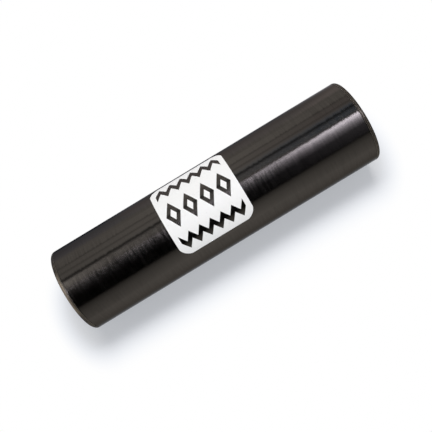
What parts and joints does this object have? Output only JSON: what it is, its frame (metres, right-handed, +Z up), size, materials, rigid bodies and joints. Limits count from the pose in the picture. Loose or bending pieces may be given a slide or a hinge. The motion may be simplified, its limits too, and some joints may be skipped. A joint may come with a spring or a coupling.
{
  "type": "ganza shaker",
  "caption": "Closed black cylinder shaker: a brushed metal tube with a rounded cap on each end, a white print on its side, and loose steel shot that runs, swirls and bounces inside.",
  "frame": {"origin": "middle of the tube's length, on its axis", "axes": "+X along the tube towards the right end cap, +Z up, away from the surface that the tube lies on"},
  "size_m": [0.1906, 0.0508, 0.0509],
  "materials": {
    "black_tube": "black, satin, brushed round its girth",
    "black_cap": "black, satin, with turned rings",
    "white_print": "white screen print, semi-gloss",
    "adhesive": "cured amber adhesive",
    "steel_shot": "bright steel, polished by tumbling"
  },
  "bodies": {
    "shell": {"tube_body": "black_tube", "left_end_cap": "black_cap", "right_end_cap": "black_cap", "left_cap_adhesive": "adhesive", "right_cap_adhesive": "adhesive", "printed_mark": "white_print"},
    "shot_bed": {"shot_bed_row_1": "steel_shot", "shot_bed_row_2": "steel_shot", "shot_bed_row_3": "steel_shot", "shot_bed_row_4": "steel_shot", "shot_bed_row_5": "steel_shot", "shot_bed_row_6": "steel_shot"},
    "shot_surge": {"shot_surge_row_1": "steel_shot", "shot_surge_row_2": "steel_shot", "shot_surge_row_3": "steel_shot"},
    "shot_bounce": {"shot_bounce_row_1": "steel_shot", "shot_bounce_row_2": "steel_shot"}
  },
  "joints": [
    {"name": "shot_swirl", "type": "hinge", "parent": "shell", "child": "shot_bed", "pos_m": [0, 0, 0], "axis": [1, 0, 0], "continuous": true},
    {"name": "shot_run", "type": "slide", "parent": "shot_bed", "child": "shot_surge", "axis": [1, 0, 0], "range_m": [-0.0577, 0.0577]},
    {"name": "shot_throw", "type": "slide", "parent": "shot_surge", "child": "shot_bounce", "axis": [0, 0, 1], "range_m": [0, 0.0348]}
  ]
}
